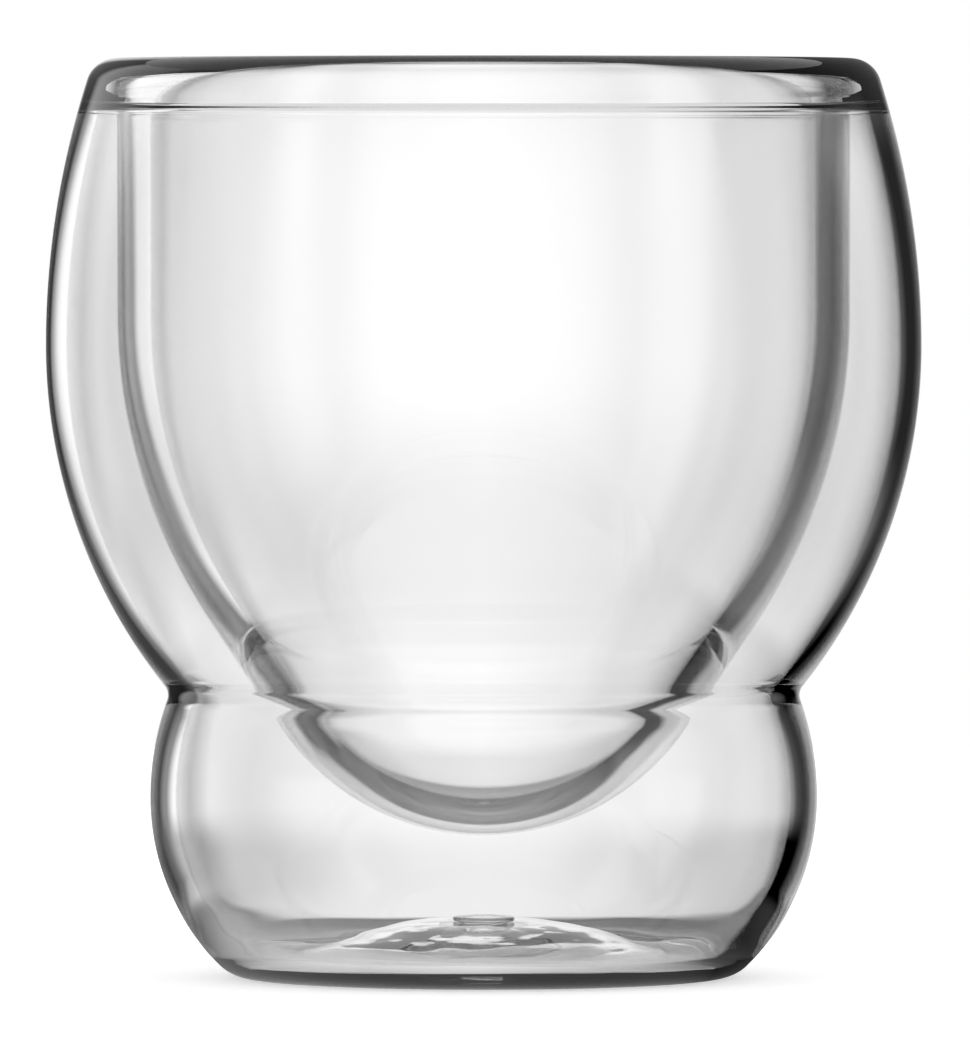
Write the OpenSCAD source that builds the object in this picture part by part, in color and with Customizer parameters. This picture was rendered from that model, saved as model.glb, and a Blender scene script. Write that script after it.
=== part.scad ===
// Double walled glass cup: two blown glasses with an air gap, melted together at
// the rim, and a small silicone plug in the vent hole of the floor.
// The cup is turned about the Z axis and stands on the plane z = 0.

/* [Cup] */
// Height of the rim's top above the table
cup_h = 98; // [92:0.5:104]
// Height of the weld line, where both glasses end, below the rim's top
rim_h = 6.4; // [5.8:0.1:7.2]
// Height of the weld line above the belly's widest place
neck_h = 24.2; // [20:0.2:28]
// How far the belly stands out past the neck at the weld line
belly_swell = 3.2; // [2:0.1:6]
// Height of the waist above the table
waist_z = 30.4; // [28:0.2:33]
// How far the waist lies inside the belly's widest place
waist_depth = 13.2; // [11:0.2:15]
// Height of the lower bulb's widest place above the table
bulb_z = 19.2; // [17.5:0.1:21]
// How far the lower bulb stands out past the waist
bulb_swell = 2.1; // [1.5:0.1:3]
// Outer diameter of the flat ring that the cup stands on
foot_d = 50; // [46:0.2:53]
// Width of the flat standing ring
foot_w = 2.2; // [1.5:0.1:3]

/* [Outer wall] */
// Wall thickness of the belly
belly_t = 2.1; // [1.5:0.1:2.6]
// Wall thickness of the lower bulb
bulb_t = 2.7; // [2:0.1:3.2]
// Thickness of the floor
floor_t = 2.8; // [2.2:0.1:3.4]
// Radius of the groove round the waist, seen from outside
groove_r = 1.6; // [1.4:0.1:4]
// Radius of the ridge behind the groove, on the air gap's side
ridge_r = 4; // [3:0.1:6]
// Diameter of the dome in the floor, on the air gap's side
dome_d = 41.6; // [38:0.2:44]
// Outer radius of the heel, between the lower bulb and the standing ring
heel_r = 4.4; // [3.6:0.1:5.2]
// Inner radius of the heel, between the lower bulb and the floor
inner_heel_r = 4; // [3:0.1:5]

/* [Inner bowl] */
// Inner diameter of the mouth
mouth_d = 71.2; // [66:0.2:76]
// Wall thickness of the bowl's side
bowl_t = 3.5; // [2.6:0.1:4.2]
// Thickness of the bowl's bottom
bowl_floor_t = 3.8; // [3:0.1:4.6]
// Width of the air gap at the weld line
top_gap = 2.3; // [1.6:0.1:3]
// Height of the air gap under the middle of the bowl
under_gap = 9.5; // [7.5:0.1:12]
// Outer radius of the curve from the bowl's straight side into its taper
shoulder_r = 60; // [52:0.5:68]
// Length of the taper between that curve and the bowl's round bottom
taper_l = 13.2; // [11.6:0.1:15]
// Outer radius of the bowl's round bottom
nose_r = 26; // [23:0.2:29]

/* [Rim] */
// Radius of the rim's outer edge
rim_out_r = 3.3; // [2.4:0.1:3.8]
// Height of the rim's inner edge, a tall soft quarter of an oval
rim_in_h = 5.4; // [3.6:0.1:5.7]
// Width of the flat ring on the rim's top
rim_top_w = 0.2; // [0.1:0.1:1]

/* [Vent plug] */
// Diameter of the vent hole in the floor
vent_d = 5; // [4:0.1:6]
// How far the plug's head reaches past the edge of the vent hole
head_w = 2.3; // [1.6:0.1:3]
// Thickness of the plug's head, under the floor
head_t = 1; // [0.6:0.1:1.4]
// Height of the plug's face above the table
plug_lift = 1.8; // [1:0.1:2.4]
// How far the plug's lip reaches past the edge of the vent hole, above the floor
lip_w = 0.8; // [0.5:0.1:1.2]
// Height of the plug's lip above the floor
lip_h = 0.6; // [0.4:0.1:1.2]

/* [Hidden] */
$fn = 96;
// Steps along each round stretch of an outline
arc_steps = 12;
// Gap all round the plug's shank in the vent hole
plug_gap = 0.05;
// Flat margin of the floor round the plug's head
seat_margin = 1.4;
// Share of the plug's lip height that is taken by its straight edge
lip_edge_share = 0.4;
// Share of the vent hole's radius that is left flat at the lip's tip
lip_tip_share = 0.6;

// Heights
weld_z = cup_h - rim_h;
belly_z = weld_z - neck_h;
kick_h = head_t + plug_lift;
bowl_z = kick_h + floor_t + under_gap;
nose_z = bowl_z + nose_r;

// Radii of the bowl and the outer wall
mouth_r = mouth_d / 2;
bowl_r = mouth_r + bowl_t;
neck_r = bowl_r + top_gap + belly_t;
belly_r = neck_r + belly_swell;
waist_r = belly_r - waist_depth;
bulb_r = waist_r + bulb_swell;
foot_r = foot_d / 2;
ring_in_r = foot_r - foot_w;
dome_r = dome_d / 2;
vent_r = vent_d / 2;
head_r = vent_r + head_w;
seat_r = head_r + seat_margin;

// Height of the end of the bowl's straight side, with the taper touching both of its neighbours
nose_to_shoulder = norm([shoulder_r - nose_r, taper_l]);
shoulder_in = shoulder_r - bowl_r;
shoulder_z = nose_z + sqrt(nose_to_shoulder * nose_to_shoulder - shoulder_in * shoulder_in);

// Radius of an arc that leaves its widest place upright and has moved in by dr after a height dz
function side_radius(dr, dz) = (dr * dr + dz * dz) / (2 * dr);

// The four arcs of the outer wall's outside, each with its centre level with a widest place
belly_up_R = side_radius(belly_swell, weld_z - belly_z);
belly_up_c = [belly_r - belly_up_R, belly_z];
belly_low_R = side_radius(waist_depth, belly_z - waist_z);
belly_low_c = [belly_r - belly_low_R, belly_z];
bulb_up_R = side_radius(bulb_swell, waist_z - bulb_z);
bulb_up_c = [bulb_r - bulb_up_R, bulb_z];
heel_in = foot_r - bulb_r;
heel_down = heel_r - bulb_z;
bulb_low_R = (heel_r * heel_r - heel_in * heel_in - heel_down * heel_down) / (2 * (heel_in + heel_r));
bulb_low_c = [bulb_r - bulb_low_R, bulb_z];

// Points of an arc about c from angle a0 to angle a1
function arc(c, r, a0, a1) =
    [for (i = [0:arc_steps])
        let (a = a0 + (a1 - a0) * i / arc_steps)
        c + r * [cos(a), sin(a)]];

// Angle of the direction from p to q
function heading(p, q) = atan2(q.y - p.y, q.x - p.x);

// A list in reverse order
function turned(list) = [for (i = [len(list) - 1:-1:0]) list[i]];

// Centre of the blend of radius f outside the arcs about c1 (lower) and c2 (upper)
function blend_centre(c1, r1, c2, r2, f) =
    let (d = norm(c2 - c1), u = (c2 - c1) / d)
    let (along = (d * d + (r1 + f) * (r1 + f) - (r2 + f) * (r2 + f)) / (2 * d))
    c1 + along * u + sqrt((r1 + f) * (r1 + f) - along * along) * [u.y, -u.x];

// Side of the lower bulb, waist and belly, set in by t_bulb and t_belly, from the bulb's widest
// place up to the height top_z, with the waist blended by the radius f
function side_line(t_bulb, t_belly, f, top_z) =
    let (r1 = bulb_up_R - t_bulb, r2 = belly_low_R - t_belly, r3 = belly_up_R - t_belly)
    let (p = blend_centre(bulb_up_c, r1, belly_low_c, r2, f))
    let (a1 = heading(bulb_up_c, p), a2 = heading(belly_low_c, p))
    concat(
        arc(bulb_up_c, r1, 0, a1),
        arc(p, f, a1 + 180, a2 + 180),
        arc(belly_low_c, r2, a2, 0),
        arc(belly_up_c, r3, 0, asin((top_z - belly_z) / r3)));

// Lower bulb from its widest place down to the flat at height z, set in by t, with a heel of radius h
function heel_centre(t, h, z) =
    let (reach = bulb_low_R - t - h, drop = z + h - bulb_z)
    [bulb_low_c.x + sqrt(reach * reach - drop * drop), z + h];
function bulb_line(t, h, z) =
    let (c = heel_centre(t, h, z), a = heading(bulb_low_c, c))
    concat(arc(bulb_low_c, bulb_low_R - t, 0, a), arc(c, h, a, -90));

// The floor's rise from the radius r0 at the height z to the flat seat of the plug
function dome_line(r0, z) =
    [for (i = [0:arc_steps])
        let (s = i / arc_steps)
        [r0 + (seat_r - r0) * s, z + kick_h * (1 - cos(180 * s)) / 2]];

// Bowl from the weld line down to its lowest point, set in by t at the side and t_nose at the bottom
function bowl_line(t, t_nose) =
    let (r1 = shoulder_r - t, r2 = nose_r - t_nose)
    let (c1 = [bowl_r - shoulder_r, shoulder_z], c2 = [0, nose_z])
    let (d = norm(c1 - c2), a = heading(c2, c1) - acos((r2 - r1) / d))
    concat([[bowl_r - t, weld_z]], arc(c1, r1, 0, a), arc(c2, r2, a, -90));

module outer_wall() {
    color([0.80, 0.88, 0.90, 0.45])
    rotate_extrude()
    polygon(concat(
        [[vent_r, kick_h]],
        turned(dome_line(ring_in_r, 0)),
        turned(bulb_line(0, heel_r, 0)),
        side_line(0, 0, groove_r, weld_z),
        turned(side_line(bulb_t, belly_t, ridge_r, weld_z)),
        bulb_line(bulb_t, inner_heel_r, floor_t),
        dome_line(dome_r, floor_t),
        [[vent_r, kick_h + floor_t]]));
}

module inner_bowl() {
    color([0.70, 0.84, 0.90, 0.55])
    rotate_extrude()
    polygon(concat(bowl_line(0, 0), turned(bowl_line(bowl_t, bowl_floor_t))));
}

module rim_weld() {
    out_z = cup_h - rim_out_r;
    out_reach = belly_up_R - rim_out_r;
    out_rise = out_z - belly_z;
    out_c = [belly_up_c.x + sqrt(out_reach * out_reach - out_rise * out_rise), out_z];
    in_c = [out_c.x - rim_top_w, cup_h - rim_in_h];
    in_w = in_c.x - mouth_r;
    a_weld = asin((weld_z - belly_z) / belly_up_R);
    a_edge = heading(belly_up_c, out_c);
    color([0.88, 0.93, 0.95, 0.6])
    rotate_extrude()
    polygon(concat(
        [[mouth_r, weld_z]],
        arc([bowl_r + top_gap / 2, weld_z], top_gap / 2, 180, 0),
        arc(belly_up_c, belly_up_R, a_weld, a_edge),
        arc(out_c, rim_out_r, a_edge, 90),
        [for (p = arc([0, 0], 1, 90, 180)) in_c + [in_w * p.x, rim_in_h * p.y]]));
}

module vent_plug() {
    shank_r = vent_r - plug_gap;
    lip_z = kick_h + floor_t;
    color([0.92, 0.92, 0.90])
    rotate_extrude()
    polygon([
        [0, plug_lift],
        [head_r, plug_lift],
        [head_r, kick_h],
        [shank_r, kick_h],
        [shank_r, lip_z],
        [vent_r + lip_w, lip_z],
        [vent_r + lip_w, lip_z + lip_h * lip_edge_share],
        [vent_r * lip_tip_share, lip_z + lip_h],
        [0, lip_z + lip_h]]);
}

outer_wall();
inner_bowl();
rim_weld();
vent_plug();
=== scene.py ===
import math

import bpy
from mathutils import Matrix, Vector


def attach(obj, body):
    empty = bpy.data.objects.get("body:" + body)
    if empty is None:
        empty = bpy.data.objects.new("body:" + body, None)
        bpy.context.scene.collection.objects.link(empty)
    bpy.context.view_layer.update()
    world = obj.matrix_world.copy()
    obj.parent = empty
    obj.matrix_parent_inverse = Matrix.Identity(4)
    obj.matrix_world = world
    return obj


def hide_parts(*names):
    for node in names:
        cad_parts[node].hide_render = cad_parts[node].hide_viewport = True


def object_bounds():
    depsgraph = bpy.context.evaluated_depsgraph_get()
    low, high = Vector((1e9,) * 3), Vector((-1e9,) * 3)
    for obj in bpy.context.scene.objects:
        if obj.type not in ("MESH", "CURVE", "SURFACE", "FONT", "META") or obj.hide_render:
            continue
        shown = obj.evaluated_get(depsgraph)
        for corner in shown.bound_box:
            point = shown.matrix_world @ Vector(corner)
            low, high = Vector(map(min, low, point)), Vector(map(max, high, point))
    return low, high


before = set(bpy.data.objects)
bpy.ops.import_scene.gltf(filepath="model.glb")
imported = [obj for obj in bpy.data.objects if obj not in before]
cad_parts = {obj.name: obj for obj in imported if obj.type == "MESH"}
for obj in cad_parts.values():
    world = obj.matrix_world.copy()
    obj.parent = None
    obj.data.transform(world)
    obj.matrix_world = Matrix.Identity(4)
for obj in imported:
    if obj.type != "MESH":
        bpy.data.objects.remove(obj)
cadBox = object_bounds()
mm = 0.001
samePlace = 1e-5      # outline points closer than this are one, in millimetres
cupHeight = cadBox[1].z / mm
print("frame loaded, cup height", round(cupHeight, 2), "mm")


# Outlines: points are (radius, height) in millimetres, and every outline runs
# anticlockwise, up the outside of a piece and back down its inside

def arcPoints(centre, radius, start, end, steps):
    angles = [math.radians(start + (end - start) * i / steps) for i in range(steps + 1)]
    return [(centre[0] + radius * math.cos(a), centre[1] + radius * math.sin(a)) for a in angles]


def headingOf(p, q):
    return math.degrees(math.atan2(q[1] - p[1], q[0] - p[0]))


def sideRadius(reach, rise):
    # radius of an arc that starts upright and has moved in by reach after rise
    return (reach * reach + rise * rise) / (2 * reach)


def blendCentre(low, lowRadius, high, highRadius, radius):
    # centre of the fillet that sits outside two arcs
    span = math.dist(low, high)
    along = (span ** 2 + (lowRadius + radius) ** 2 - (highRadius + radius) ** 2) / (2 * span)
    aside = math.sqrt((lowRadius + radius) ** 2 - along ** 2)
    ux = (high[0] - low[0]) / span
    uz = (high[1] - low[1]) / span
    return (low[0] + along * ux + aside * uz, low[1] + along * uz - aside * ux)


def withoutRepeats(points):
    kept = [points[0]]
    for p in points[1:]:
        if math.dist(p, kept[-1]) > samePlace:
            kept.append(p)
    return kept


# Rim: where both glasses are melted together
rim = {
    "height": 6.4,       # weld line below the rim's top
    "outerRadius": 3.3,  # rounding of the outer edge
    "innerHeight": 5.4,  # tall soft inner edge, a quarter of an oval
    "topWidth": 0.2,     # flat ring between the two
    "steps": 28,
}

# Bowl: the inner glass
bowl = {
    "mouthRadius": 35.6,
    "wall": 3.5,
    "bottomWall": 3.8,
    "topGap": 2.3,         # air gap at the weld line
    "underGap": 9.5,       # air gap under the bowl
    "shoulderRadius": 60.0,
    "taperLength": 13.2,
    "noseRadius": 26.0,
    "steps": 84,
}

# Outer wall: belly, waist, lower bulb and floor
wall = {
    "neckHeight": 24.2,   # weld line above the widest place of the belly
    "bellySwell": 3.2,
    "waistHeight": 30.4,
    "waistDepth": 13.2,
    "bulbHeight": 19.2,
    "bulbSwell": 2.1,
    "footRadius": 25.0,
    "footWidth": 2.2,
    "bellyWall": 2.1,
    "bulbWall": 2.7,
    "floorWall": 2.8,
    "grooveRadius": 1.6,
    "ridgeRadius": 4.0,
    "domeRadius": 20.8,
    "heelRadius": 4.4,
    "innerHeelRadius": 4.0,
    "steps": 28,
}

# Plug: soft silicone in the vent hole of the floor
plug = {
    "holeRadius": 2.5,
    "headReach": 2.3,
    "headHeight": 1.0,
    "lift": 1.8,          # face of the plug above the table
    "seatMargin": 1.4,    # flat glass round the head
    "shankGap": 0.05,
    "lipReach": 0.8,
    "lipHeight": 0.6,
    "lipTip": 0.6,        # share of the hole's radius that is flat at the lip's tip
    "rounding": 0.22,
    "steps": 6,
}

weldZ = cupHeight - rim["height"]
bellyZ = weldZ - wall["neckHeight"]
kickHeight = plug["headHeight"] + plug["lift"]
bowlZ = kickHeight + wall["floorWall"] + bowl["underGap"]
noseZ = bowlZ + bowl["noseRadius"]

bowlRadius = bowl["mouthRadius"] + bowl["wall"]
neckRadius = bowlRadius + bowl["topGap"] + wall["bellyWall"]
bellyRadius = neckRadius + wall["bellySwell"]
waistRadius = bellyRadius - wall["waistDepth"]
bulbRadius = waistRadius + wall["bulbSwell"]
ringRadius = wall["footRadius"] - wall["footWidth"]
seatRadius = plug["holeRadius"] + plug["headReach"] + plug["seatMargin"]

noseToShoulder = math.hypot(bowl["shoulderRadius"] - bowl["noseRadius"], bowl["taperLength"])
shoulderZ = noseZ + math.sqrt(noseToShoulder ** 2 - (bowl["shoulderRadius"] - bowlRadius) ** 2)

bellyTop = sideRadius(wall["bellySwell"], weldZ - bellyZ)
bellyTopCentre = (bellyRadius - bellyTop, bellyZ)
bellyLow = sideRadius(wall["waistDepth"], bellyZ - wall["waistHeight"])
bellyLowCentre = (bellyRadius - bellyLow, bellyZ)
bulbTop = sideRadius(wall["bulbSwell"], wall["waistHeight"] - wall["bulbHeight"])
bulbTopCentre = (bulbRadius - bulbTop, wall["bulbHeight"])
heelIn = wall["footRadius"] - bulbRadius
heelDown = wall["heelRadius"] - wall["bulbHeight"]
bulbLow = ((wall["heelRadius"] ** 2 - heelIn ** 2 - heelDown ** 2)
           / (2 * (heelIn + wall["heelRadius"])))
bulbLowCentre = (bulbRadius - bulbLow, wall["bulbHeight"])


def sideLine(bulbInset, bellyInset, blend):
    # lower bulb, waist and belly, from the widest place of the bulb up to the weld line
    n = wall["steps"]
    low = bulbTop - bulbInset
    mid = bellyLow - bellyInset
    top = bellyTop - bellyInset
    centre = blendCentre(bulbTopCentre, low, bellyLowCentre, mid, blend)
    lowTurn = headingOf(bulbTopCentre, centre)
    midTurn = headingOf(bellyLowCentre, centre)
    weldTurn = math.degrees(math.asin((weldZ - bellyZ) / top))
    return (arcPoints(bulbTopCentre, low, 0, lowTurn, n // 2)
            + arcPoints(centre, blend, lowTurn + 180, midTurn + 180, n // 2)
            + arcPoints(bellyLowCentre, mid, midTurn, 0, n * 2)
            + arcPoints(bellyTopCentre, top, 0, weldTurn, n))


def bulbLine(inset, heel, height):
    # lower bulb from its widest place down to a flat at the given height
    n = wall["steps"]
    reach = bulbLow - inset - heel
    drop = height + heel - wall["bulbHeight"]
    centre = (bulbLowCentre[0] + math.sqrt(reach ** 2 - drop ** 2), height + heel)
    turn = headingOf(bulbLowCentre, centre)
    return (arcPoints(bulbLowCentre, bulbLow - inset, 0, turn, n)
            + arcPoints(centre, heel, turn, -90, n // 2))


def domeLine(startRadius, height):
    # rise of the floor from the standing ring to the seat of the plug
    n = wall["steps"]
    shares = [i / n for i in range(n + 1)]
    return [(startRadius + (seatRadius - startRadius) * s,
             height + kickHeight * (1 - math.cos(math.pi * s)) / 2) for s in shares]


def evenly(start, end, count):
    # points between two others, without the two themselves
    return [tuple(a + (b - a) * i / count for a, b in zip(start, end)) for i in range(1, count)]


def bowlLine(inset, bottomInset):
    # side of the bowl from the weld line down to its lowest point
    n = bowl["steps"]
    shoulder = bowl["shoulderRadius"] - inset
    nose = bowl["noseRadius"] - bottomInset
    shoulderCentre = (bowlRadius - bowl["shoulderRadius"], shoulderZ)
    noseCentre = (0.0, noseZ)
    span = math.dist(shoulderCentre, noseCentre)
    taper = math.degrees(math.acos((nose - shoulder) / span))
    turn = headingOf(noseCentre, shoulderCentre) - taper
    top = [(bowlRadius - inset, weldZ)]
    curve = arcPoints(shoulderCentre, shoulder, 0, turn, n // 2)
    bottom = arcPoints(noseCentre, nose, turn, -90, n)
    return (top + evenly(top[0], curve[0], n // 4)
            + curve + evenly(curve[-1], bottom[0], n // 6) + bottom)


def rimLine():
    n = rim["steps"]
    outerZ = cupHeight - rim["outerRadius"]
    reach = bellyTop - rim["outerRadius"]
    outerCentre = (bellyTopCentre[0] + math.sqrt(reach ** 2 - (outerZ - bellyZ) ** 2), outerZ)
    innerCentre = (outerCentre[0] - rim["topWidth"], cupHeight - rim["innerHeight"])
    innerWidth = innerCentre[0] - bowl["mouthRadius"]
    quarter = arcPoints((0.0, 0.0), 1.0, 90, 180, n)
    weldTurn = math.degrees(math.asin((weldZ - bellyZ) / bellyTop))
    edgeTurn = headingOf(bellyTopCentre, outerCentre)
    archRadius = bowl["topGap"] / 2
    return (arcPoints((bowlRadius + archRadius, weldZ), archRadius, 180, 0, n)
            + arcPoints(bellyTopCentre, bellyTop, weldTurn, edgeTurn, n // 4)
            + arcPoints(outerCentre, rim["outerRadius"], edgeTurn, 90, n)
            + [(innerCentre[0] + innerWidth * x, innerCentre[1] + rim["innerHeight"] * z)
               for x, z in quarter]
            + [(bowl["mouthRadius"], weldZ)])


def plugLine():
    # turned outline with its outer corners rounded
    holeRadius = plug["holeRadius"]
    headRadius = holeRadius + plug["headReach"]
    shank = holeRadius - plug["shankGap"]
    lipRadius = holeRadius + plug["lipReach"]
    lipZ = kickHeight + wall["floorWall"]
    r = plug["rounding"]
    n = plug["steps"]
    return ([(0.0, plug["lift"])]
            + arcPoints((headRadius - r, plug["lift"] + r), r, -90, 0, n)
            + arcPoints((headRadius - r, kickHeight - r), r, 0, 90, n)
            + [(shank, kickHeight), (shank, lipZ)]
            + arcPoints((lipRadius - r, lipZ + r), r, -90, 90, n * 2)
            + [(holeRadius * plug["lipTip"], lipZ + plug["lipHeight"]),
               (0.0, lipZ + plug["lipHeight"])])


outerOutline = ([(plug["holeRadius"], kickHeight)]
                + domeLine(ringRadius, 0)[::-1]
                + bulbLine(0, wall["heelRadius"], 0)[::-1]
                + sideLine(0, 0, wall["grooveRadius"])
                + sideLine(wall["bulbWall"], wall["bellyWall"], wall["ridgeRadius"])[::-1]
                + bulbLine(wall["bulbWall"], wall["innerHeelRadius"], wall["floorWall"])
                + domeLine(wall["domeRadius"], wall["floorWall"])
                + [(plug["holeRadius"], kickHeight + wall["floorWall"]),
                   (plug["holeRadius"], kickHeight)])
innerOutline = bowlLine(0, 0)[::-1] + bowlLine(bowl["wall"], bowl["bottomWall"])
rimOutline = rimLine()
rimOutline.append(rimOutline[0])
print("outlines drawn")


# Lathe: one Geometry Nodes tree turns an outline about the Z axis

lathe = {
    "Steps around": 240,
    "Ripple size": 0.03,
    "Streak size": 0.0025,
    "Floor height": 0.008,
    "rippleDetail": 1.0,
    "streakDetail": 1.5,
    "streakTurn": 1.3,      # how much the floor's rings change on the way round
    "streakStart": 0.0015,  # height above the table where they are at full strength
    "streakEnd": 0.75,      # share of the floor height where they begin to fade
    "sharpAngle": 35,       # edges that turn by more, in degrees, stay crisp
    "tiny": 1e-6,           # points or heights that differ by less are the same
}


def mathsNode(tree, operation, first, second=None, third=None):
    node = tree.nodes.new("ShaderNodeMath")
    node.operation = operation
    for socket, value in zip(node.inputs, (first, second, third)):
        if isinstance(value, (int, float)):
            socket.default_value = value
        elif value is not None:
            tree.links.new(value, socket)
    return node.outputs[0]


def buildLathe():
    tree = bpy.data.node_groups.new("glassLathe", "GeometryNodeTree")
    for name, kind in (("Outline", "Geometry"), ("Steps around", "Int"), ("Weld height", "Float"),
                       ("Ripple", "Float"), ("Ripple size", "Float"), ("Streak", "Float"),
                       ("Streak size", "Float"), ("Floor height", "Float"),
                       ("Glass", "Material"), ("Weld", "Material")):
        tree.interface.new_socket(name, in_out="INPUT", socket_type="NodeSocket" + kind)
    tree.interface.new_socket("Turned", in_out="OUTPUT", socket_type="NodeSocketGeometry")
    links = tree.links

    def add(kind, **settings):
        node = tree.nodes.new(kind)
        for key, value in settings.items():
            setattr(node, key, value)
        return node

    def maths(operation, *values):
        return mathsNode(tree, operation, *values)

    given = add("NodeGroupInput").outputs
    size = add("GeometryNodeAttributeDomainSize", component="MESH")
    links.new(given["Outline"], size.inputs["Geometry"])
    columns = maths("ADD", given["Steps around"], 1)

    grid = add("GeometryNodeMeshGrid")
    links.new(size.outputs["Point Count"], grid.inputs["Vertices X"])
    links.new(columns, grid.inputs["Vertices Y"])

    # each row of the grid is one point of the outline, each column one step round
    index = add("GeometryNodeInputIndex").outputs[0]
    row = maths("FLOOR", maths("DIVIDE", maths("ADD", index, 0.5), columns))
    column = maths("SUBTRACT", index, maths("MULTIPLY", row, columns))
    angle = maths("MULTIPLY", maths("DIVIDE", column, given["Steps around"]), -2 * math.pi)

    place = add("GeometryNodeInputPosition")
    sample = add("GeometryNodeSampleIndex", data_type="FLOAT_VECTOR", domain="POINT")
    links.new(given["Outline"], sample.inputs["Geometry"])
    links.new(place.outputs[0], sample.inputs["Value"])
    links.new(row, sample.inputs["Index"])
    outline = add("ShaderNodeSeparateXYZ")
    links.new(sample.outputs[0], outline.inputs[0])
    radius = outline.outputs["X"]
    height = outline.outputs["Z"]

    turned = add("ShaderNodeCombineXYZ")
    links.new(maths("MULTIPLY", radius, maths("COSINE", angle)), turned.inputs["X"])
    links.new(maths("MULTIPLY", radius, maths("SINE", angle)), turned.inputs["Y"])
    links.new(height, turned.inputs["Z"])

    # blown glass is never quite even: a slow ripple in the walls, drawn in from the true shape
    wave = add("ShaderNodeTexNoise", noise_dimensions="3D")
    wave.inputs["Detail"].default_value = lathe["rippleDetail"]
    links.new(turned.outputs[0], wave.inputs["Vector"])
    links.new(maths("DIVIDE", 1.0, given["Ripple size"]), wave.inputs["Scale"])
    shrink = maths("SUBTRACT", 1.0, maths("MULTIPLY", wave.outputs[0], given["Ripple"]))

    # and livelier rings in the floor, from just above the table up to the floor height
    ringed = add("ShaderNodeCombineXYZ")
    links.new(maths("DIVIDE", radius, given["Streak size"]), ringed.inputs["X"])
    links.new(maths("MULTIPLY", maths("COSINE", angle), lathe["streakTurn"]), ringed.inputs["Y"])
    links.new(maths("MULTIPLY", maths("SINE", angle), lathe["streakTurn"]), ringed.inputs["Z"])
    streak = add("ShaderNodeTexNoise", noise_dimensions="3D")
    streak.inputs["Scale"].default_value = 1.0
    streak.inputs["Detail"].default_value = lathe["streakDetail"]
    links.new(ringed.outputs[0], streak.inputs["Vector"])
    rise = add("ShaderNodeMapRange")
    rise.inputs["From Max"].default_value = lathe["streakStart"]
    links.new(height, rise.inputs["Value"])
    fade = add("ShaderNodeMapRange")
    fade.inputs["To Min"].default_value = 1.0
    fade.inputs["To Max"].default_value = 0.0
    links.new(height, fade.inputs["Value"])
    links.new(maths("MULTIPLY", given["Floor height"], lathe["streakEnd"]), fade.inputs["From Min"])
    links.new(given["Floor height"], fade.inputs["From Max"])
    floorShare = maths("MULTIPLY", rise.outputs[0], fade.outputs[0])
    dent = maths("MULTIPLY", maths("MULTIPLY", streak.outputs[0], given["Streak"]), floorShare)

    rippled = add("ShaderNodeCombineXYZ")
    flat = add("ShaderNodeSeparateXYZ")
    links.new(turned.outputs[0], flat.inputs[0])
    links.new(maths("MULTIPLY", flat.outputs["X"], shrink), rippled.inputs["X"])
    links.new(maths("MULTIPLY", flat.outputs["Y"], shrink), rippled.inputs["Y"])
    links.new(maths("SUBTRACT", height, dent), rippled.inputs["Z"])

    shaped = add("GeometryNodeSetPosition")
    links.new(grid.outputs["Mesh"], shaped.inputs["Geometry"])
    links.new(rippled.outputs[0], shaped.inputs["Position"])
    closed = add("GeometryNodeMergeByDistance")
    closed.inputs["Distance"].default_value = lathe["tiny"]
    links.new(shaped.outputs[0], closed.inputs["Geometry"])

    corner = add("GeometryNodeInputMeshEdgeAngle")
    sharp = add("GeometryNodeStoreNamedAttribute", data_type="BOOLEAN", domain="EDGE")
    sharp.inputs["Name"].default_value = "sharp_edge"
    links.new(closed.outputs[0], sharp.inputs["Geometry"])
    limit = math.radians(lathe["sharpAngle"])
    isSharp = maths("GREATER_THAN", corner.outputs["Unsigned Angle"], limit)
    links.new(isSharp, sharp.inputs["Value"])
    smooth = add("GeometryNodeSetShadeSmooth")
    links.new(sharp.outputs[0], smooth.inputs["Geometry"])

    real = add("GeometryNodeRealizeInstances")
    links.new(smooth.outputs[0], real.inputs[0])
    glassed = add("GeometryNodeSetMaterial")
    links.new(real.outputs[0], glassed.inputs["Geometry"])
    links.new(given["Glass"], glassed.inputs["Material"])

    # the faces where two pieces are melted together carry the weld material
    here = add("ShaderNodeSeparateXYZ")
    links.new(place.outputs[0], here.inputs[0])
    off = maths("ABSOLUTE", maths("SUBTRACT", here.outputs["Z"], given["Weld height"]))
    onWeld = maths("LESS_THAN", off, lathe["tiny"])
    welded = add("GeometryNodeSetMaterial")
    links.new(glassed.outputs[0], welded.inputs["Geometry"])
    links.new(onWeld, welded.inputs["Selection"])
    links.new(given["Weld"], welded.inputs["Material"])
    links.new(welded.outputs[0], add("NodeGroupOutput").inputs[0])
    return tree


latheTree = buildLathe()
socketOf = {item.name: item.identifier for item in latheTree.interface.items_tree}


def turnOnLathe(name, outline, glass, melted, ripple=0.0, streak=0.0):
    points = [(r * mm, 0.0, z * mm) for r, z in withoutRepeats(outline)]
    base = bpy.data.meshes.new(name + "Outline")
    base.from_pydata(points, [(i, i + 1) for i in range(len(points) - 1)], [])
    blank = bpy.data.objects.new(name + "Blank", base)
    bpy.context.scene.collection.objects.link(blank)
    turning = blank.modifiers.new("lathe", "NODES")
    turning.node_group = latheTree
    values = {key: lathe[key] for key in lathe if key in socketOf}
    values.update({"Weld height": weldZ * mm, "Ripple": ripple, "Streak": streak,
                   "Glass": glass, "Weld": melted})
    for key, value in values.items():
        turning[socketOf[key]] = value
    evaluated = blank.evaluated_get(bpy.context.evaluated_depsgraph_get())
    mesh = bpy.data.meshes.new_from_object(evaluated)
    mesh.name = name
    if mesh.materials[0] is None:
        mesh.materials.pop(index=0)   # the empty slot that the node tree leaves in front
    piece = bpy.data.objects.new(name, mesh)
    bpy.context.scene.collection.objects.link(piece)
    bpy.data.objects.remove(blank)
    return piece


# Materials

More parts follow.
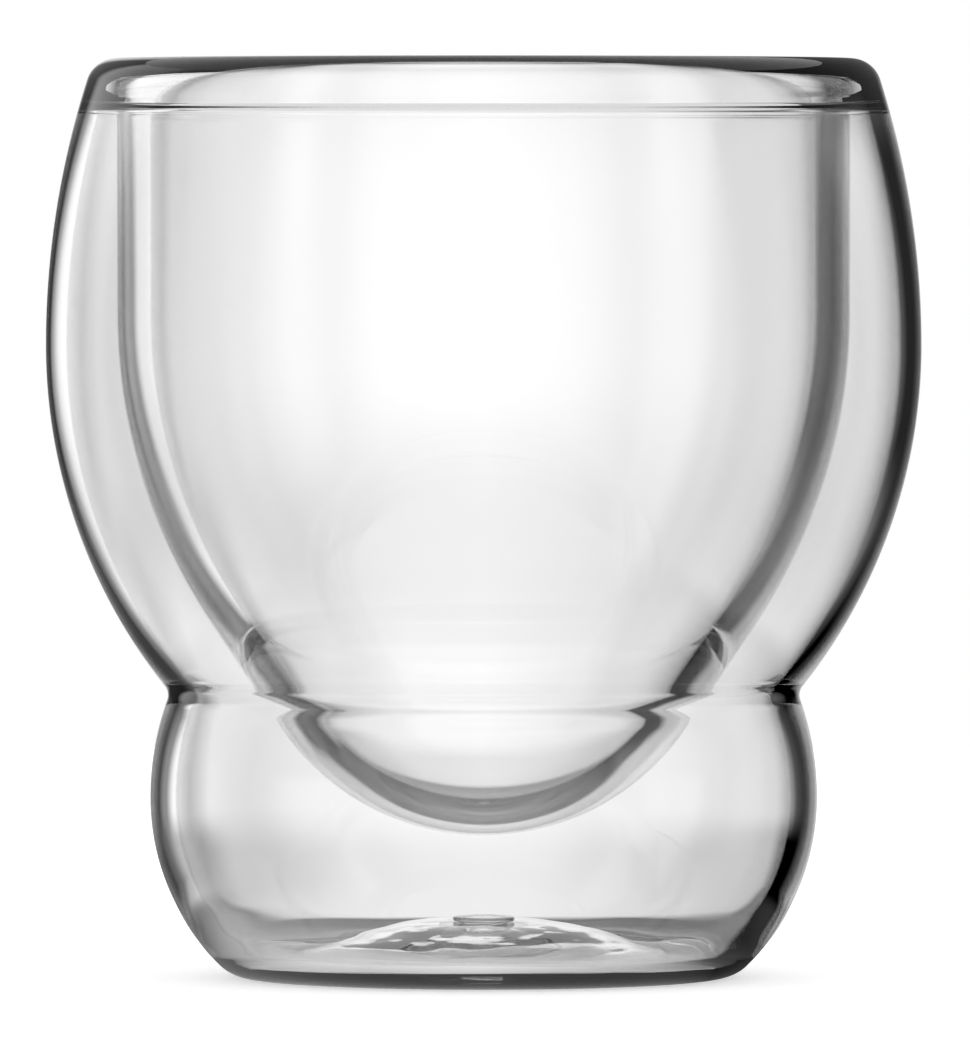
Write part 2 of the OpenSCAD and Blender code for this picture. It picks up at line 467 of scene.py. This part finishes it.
def newMaterial(name):
    material = bpy.data.materials.new(name)
    material.use_nodes = True
    return material, material.node_tree.nodes["Principled BSDF"]


def waveBump(material, shader, finish):
    # faint unevenness of a surface, in object space
    tree = material.node_tree
    place = tree.nodes.new("ShaderNodeTexCoord")
    noise = tree.nodes.new("ShaderNodeTexNoise")
    noise.inputs["Scale"].default_value = 1 / finish["waveSize"]
    noise.inputs["Detail"].default_value = finish["waveDetail"]
    bump = tree.nodes.new("ShaderNodeBump")
    bump.inputs["Distance"].default_value = finish["waveDepth"]
    tree.links.new(place.outputs["Object"], noise.inputs["Vector"])
    tree.links.new(noise.outputs["Fac"], bump.inputs["Height"])
    tree.links.new(bump.outputs["Normal"], shader.inputs["Normal"])


clearGlass = {
    "colour": (0.995, 0.995, 0.995, 1.0),
    "roughness": 0.0,
    "ior": 1.47,
    "transmission": 1.0,
    "waveSize": 0.014,
    "waveDepth": 0.00001,
    "waveDetail": 1.0,
}

softSilicone = {
    "colour": (0.93, 0.94, 0.93, 1.0),
    "roughness": 0.12,
    "ior": 1.41,
    "transmission": 0.96,
    "waveSize": 0.0006,
    "waveDepth": 0.00002,
    "waveDetail": 3.0,
}


def clearMaterial(name, finish):
    material, shader = newMaterial(name)
    shader.inputs["Base Color"].default_value = finish["colour"]
    shader.inputs["Roughness"].default_value = finish["roughness"]
    shader.inputs["IOR"].default_value = finish["ior"]
    shader.inputs["Transmission Weight"].default_value = finish["transmission"]
    waveBump(material, shader, finish)
    return material


def weldMaterial():
    # the glass is one melt here, so the meeting faces show nothing
    material, shader = newMaterial("meltedThrough")
    shader.inputs["Alpha"].default_value = 0.0
    shader.inputs["IOR"].default_value = 1.0
    shader.inputs["Specular IOR Level"].default_value = 0.0
    return material


outerGlass = clearMaterial("clearGlassOuter", clearGlass)
innerGlass = clearMaterial("clearGlassInner", clearGlass)
rimGlass = clearMaterial("clearGlassRim", clearGlass)
weld = weldMaterial()
silicone = clearMaterial("milkySilicone", softSilicone)
print("materials made")


# Pieces

unevenness = {
    "wall": 0.0008,        # ripple, as a share of the radius
    "floor": 0.0002,       # depth of the floor's rings, in metres
}

outerPiece = turnOnLathe("outerWallGlass", outerOutline, outerGlass, weld,
                         ripple=unevenness["wall"], streak=unevenness["floor"])
innerPiece = turnOnLathe("innerBowlGlass", innerOutline, innerGlass, weld, ripple=unevenness["wall"])
rimPiece = turnOnLathe("rimWeldGlass", rimOutline, rimGlass, weld, ripple=unevenness["wall"])
plugPiece = turnOnLathe("ventPlugSilicone", plugLine(), silicone, silicone)

for piece, node, slotName in ((outerPiece, "outer_wall", "outer_glass"),
                              (innerPiece, "inner_bowl", "inner_glass"),
                              (rimPiece, "rim_weld", "rim_glass"),
                              (plugPiece, "vent_plug", "silicone")):
    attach(piece, "root")
    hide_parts(node)
    print(piece.name, len(piece.data.polygons), "faces")


# Studio: a pale floor, a white background and a light tent close round the cup.
# Only the glass sees the tent: a white backdrop, black strips at its sides and
# white cards beside them, and the bright room in front. It also holds the painted
# light and shade of the floor near the cup, which only the glass sees

tent = {
    "radius": 0.062,
    "height": 0.125,
    # brightness by direction from the cup's axis, in degrees to the right of the far side
    "upper": [(-180, 0.8), (-105, 0.4), (-95, 1.1), (-72, 1.1), (-66, 0.2), (-50, 0.2), (-45, 0.9),
              (-10, 0.9), (20, 0.7), (36, 0.12), (110, 0.12), (145, 0.6), (180, 0.8)],
    "middle": [(-180, 1.2), (-140, 1.0), (-118, 0.15), (-105, 0.3), (-96, 1.1), (-71, 1.1),
               (-66, 0.03), (-56, 0.03), (-50, 0.6), (-42, 0.82), (-32, 1.0), (-15, 1.05),
               (20, 0.98), (46, 0.75), (52, 0.55), (60, 0.02), (78, 0.02), (86, 0.7), (96, 0.9),
               (106, 0.2), (118, 0.15), (140, 1.0), (180, 1.2)],
    "lower": [(-180, 1.1), (-118, 0.1), (-105, 0.3), (-95, 1.1), (-68, 1.1), (-62, 0.05),
              (-46, 0.05), (-38, 0.8), (-10, 1.05), (30, 0.9), (46, 0.5), (53, 0.0), (66, 0.0),
              (76, 0.6), (84, 0.9), (95, 0.9), (118, 0.2), (180, 1.1)],
    "foot": [(-180, 1.1), (-118, 0.3), (-95, 0.8), (-66, 0.5), (-58, 0.05), (-42, 0.05),
             (-33, 0.55), (-15, 0.85), (5, 0.85), (25, 0.7), (45, 0.6), (52, 0.0), (115, 0.0),
             (135, 0.5), (180, 1.1)],
    # and painted light and shade of the floor, beside the cup and under it: a painted shadow under
    # the cup, dark behind, bright in front
    "floor": [(-180, 1.2), (-135, 0.9), (-105, 0.45), (-70, 0.15), (115, 0.0), (140, 0.6),
              (180, 1.2)],
    "under": [(-180, 0.35), (-140, 0.3), (-105, 0.2), (-60, 0.12), (60, 0.12), (105, 0.2),
              (140, 0.3), (180, 0.35)],
    "footBlend": (0.008, 0.016),   # heights between which one part turns into the next
    "lowerBlend": (0.025, 0.055),
    "upperBlend": (0.09, 0.105),
    "shade": 0.12,                 # a soft grey band across the backdrop
    "shadeRise": (0.026, 0.038),
    "shadeFall": (0.044, 0.066),
    "roof": 0.75,
    "roofEdge": 0.0001,            # the roof is what lies higher than this below the top
    "floorBlend": (0.018, 0.034),  # distances from the axis where under turns into floor
    "edgeBlend": (0.04, 0.05),     # and floor into foot
}

studio = {
    "fill": 0.95,          # even light on everything that is not glass
    "floorRadius": 0.6,
    "floorDrop": 0.0001,   # the floor lies this far below the cup
    "floorColour": 0.82,
    "floorGlow": 0.5,      # the rest of its white comes from the light, so the shadow stays
    "discSides": 96,
}


def blendNode(tree, share, first, second):
    node = tree.nodes.new("ShaderNodeMix")
    node.data_type = "FLOAT"
    for name, value in (("Factor", share), ("A", first), ("B", second)):
        if isinstance(value, (int, float)):
            node.inputs[name].default_value = value
        else:
            tree.links.new(value, node.inputs[name])
    return node.outputs[0]


def rangeNode(tree, source, start, end, low=0.0, high=1.0):
    # smooth change from low to high between two values
    node = tree.nodes.new("ShaderNodeMapRange")
    node.interpolation_type = "SMOOTHSTEP"
    for name, value in (("From Min", start), ("From Max", end), ("To Min", low), ("To Max", high)):
        node.inputs[name].default_value = value
    tree.links.new(source, node.inputs["Value"])
    return node.outputs[0]


def rampNode(tree, source, stops):
    # brightness round the cup, from stops in degrees
    ramp = tree.nodes.new("ShaderNodeValToRGB")
    marks = ramp.color_ramp.elements
    for place, mark in ((0, marks[0]), (-1, marks[1])):
        mark.position = 0.5 + stops[place][0] / 360
        mark.color = (stops[place][1],) * 3 + (1.0,)
    for angle, level in stops[1:-1]:
        marks.new(0.5 + angle / 360).color = (level,) * 3 + (1.0,)
    tree.links.new(source, ramp.inputs[0])
    return ramp.outputs[0]


def turnRound(tree, place):
    # share of a full turn from the near side, past the left, the far side and the right
    direction = mathsNode(tree, "ARCTAN2", place["X"], place["Y"])
    return mathsNode(tree, "MULTIPLY_ADD", direction, 1 / (2 * math.pi), 0.5)


def emptyMaterial(name):
    material = bpy.data.materials.new(name)
    material.use_nodes = True
    material.node_tree.nodes.clear()
    place = material.node_tree.nodes.new("ShaderNodeSeparateXYZ")
    coordinates = material.node_tree.nodes.new("ShaderNodeTexCoord")
    material.node_tree.links.new(coordinates.outputs["Object"], place.inputs[0])
    return material, material.node_tree, place.outputs


def finishMaterial(tree, shader):
    tree.links.new(shader.outputs[0], tree.nodes.new("ShaderNodeOutputMaterial").inputs["Surface"])


def buildWorld():
    world = bpy.data.worlds.new("whiteRoom")
    world.use_nodes = True
    tree = world.node_tree
    seen = tree.nodes.new("ShaderNodeLightPath").outputs["Is Camera Ray"]
    white = blendNode(tree, seen, studio["fill"], 1.0)
    tree.links.new(white, tree.nodes["Background"].inputs["Color"])
    bpy.context.scene.world = world


def discPoints(radius, height):
    angles = [2 * math.pi * i / studio["discSides"] for i in range(studio["discSides"])]
    return [(radius * math.cos(a), radius * math.sin(a), height) for a in angles]


def addStage(name, points, faces, material):
    mesh = bpy.data.meshes.new(name)
    mesh.from_pydata(points, [], faces)
    mesh.materials.append(material)
    thing = bpy.data.objects.new(name, mesh)
    bpy.context.scene.collection.objects.link(thing)
    return thing


def pitchTent():
    count = studio["discSides"]
    points = (discPoints(tent["radius"], -studio["floorDrop"])
              + discPoints(tent["radius"], tent["height"]))
    faces = [(i, (i + 1) % count, (i + 1) % count + count, i + count) for i in range(count)]
    faces.append(range(count, 2 * count))
    material, tree, place = emptyMaterial("tentCloth")
    around = turnRound(tree, place)
    side = rampNode(tree, around, tent["foot"])
    for name, heights in (("lower", "footBlend"), ("middle", "lowerBlend"),
                          ("upper", "upperBlend")):
        share = rangeNode(tree, place["Z"], *tent[heights])
        side = blendNode(tree, share, side, rampNode(tree, around, tent[name]))
    band = mathsNode(tree, "SUBTRACT", rangeNode(tree, place["Z"], *tent["shadeRise"]),
                     rangeNode(tree, place["Z"], *tent["shadeFall"]))
    dimmed = mathsNode(tree, "MULTIPLY_ADD", band, -tent["shade"], 1.0)
    side = mathsNode(tree, "MULTIPLY", side, dimmed)
    onRoof = mathsNode(tree, "GREATER_THAN", place["Z"], tent["height"] - tent["roofEdge"])
    glow = tree.nodes.new("ShaderNodeEmission")
    tree.links.new(blendNode(tree, onRoof, side, tent["roof"]), glow.inputs["Strength"])
    finishMaterial(tree, glow)
    cloth = addStage("lightTent", points, faces, material)
    cloth.visible_camera = False
    cloth.visible_diffuse = False
    cloth.visible_shadow = False


def layFloor():
    material, tree, place = emptyMaterial("paleFloor")
    ray = tree.nodes.new("ShaderNodeLightPath").outputs
    pale = tree.nodes.new("ShaderNodeBsdfDiffuse")
    pale.inputs["Color"].default_value = (studio["floorColour"],) * 3 + (1.0,)
    glow = tree.nodes.new("ShaderNodeEmission")
    shine = mathsNode(tree, "MULTIPLY", ray["Is Camera Ray"], studio["floorGlow"])
    tree.links.new(shine, glow.inputs["Strength"])
    lit = tree.nodes.new("ShaderNodeAddShader")
    tree.links.new(pale.outputs[0], lit.inputs[0])
    tree.links.new(glow.outputs[0], lit.inputs[1])
    # what the glass shows of it: painted light and shade, with a painted shadow under the cup and
    # painted light in front
    inside = tree.nodes.new("ShaderNodeEmission")
    away = mathsNode(tree, "SQRT", mathsNode(tree, "ADD", mathsNode(tree, "POWER", place["X"], 2.0),
                                             mathsNode(tree, "POWER", place["Y"], 2.0)))
    around = turnRound(tree, place)
    paintedFloorLight = rampNode(tree, around, tent["under"])
    for name, distances in (("floor", "floorBlend"), ("foot", "edgeBlend")):
        share = rangeNode(tree, away, *tent[distances])
        paintedFloorLight = blendNode(tree, share, paintedFloorLight, rampNode(tree, around, tent[name]))
    tree.links.new(paintedFloorLight, inside.inputs["Strength"])
    either = tree.nodes.new("ShaderNodeMixShader")
    throughGlass = mathsNode(tree, "MAXIMUM", ray["Is Glossy Ray"], ray["Is Transmission Ray"])
    tree.links.new(throughGlass, either.inputs[0])
    tree.links.new(lit.outputs[0], either.inputs[1])
    tree.links.new(inside.outputs[0], either.inputs[2])
    finishMaterial(tree, either)
    points = discPoints(studio["floorRadius"], -studio["floorDrop"])
    addStage("studioFloor", points, [range(len(points))], material)


buildWorld()
pitchTent()
layFloor()
print("studio lit")


# Camera

camera = {
    "distance": 1.494,
    "height": 0.086,
    "target": 0.04865,
    "pixel": 0.1067 * mm,      # one pixel of the photograph at the cup's axis
    "imageHeight": 1042,
    "shift": 1.3,              # pixels
    "sensor": 36.0,
    "nearest": 0.01,
}


def placeCamera():
    data = bpy.data.cameras.new("photoCamera")
    viewer = bpy.data.objects.new("photoCamera", data)
    bpy.context.scene.collection.objects.link(viewer)
    eye = Vector((0.0, -camera["distance"], camera["height"]))
    aim = Vector((0.0, 0.0, camera["target"])) - eye
    viewer.location = eye
    viewer.rotation_euler = aim.to_track_quat("-Z", "Y").to_euler()
    data.sensor_width = camera["sensor"]
    data.lens = camera["sensor"] * aim.length / (camera["imageHeight"] * camera["pixel"])
    data.shift_x = camera["shift"] / camera["imageHeight"]
    data.clip_start = camera["nearest"]
    bpy.context.scene.camera = viewer


placeCamera()
scene = bpy.context.scene
scene.view_settings.view_transform = "Standard"
lightBounces = 96              # four walls of glass need many
scene.cycles.max_bounces = lightBounces
scene.cycles.transmission_bounces = lightBounces
scene.cycles.transparent_max_bounces = lightBounces
print("camera placed")
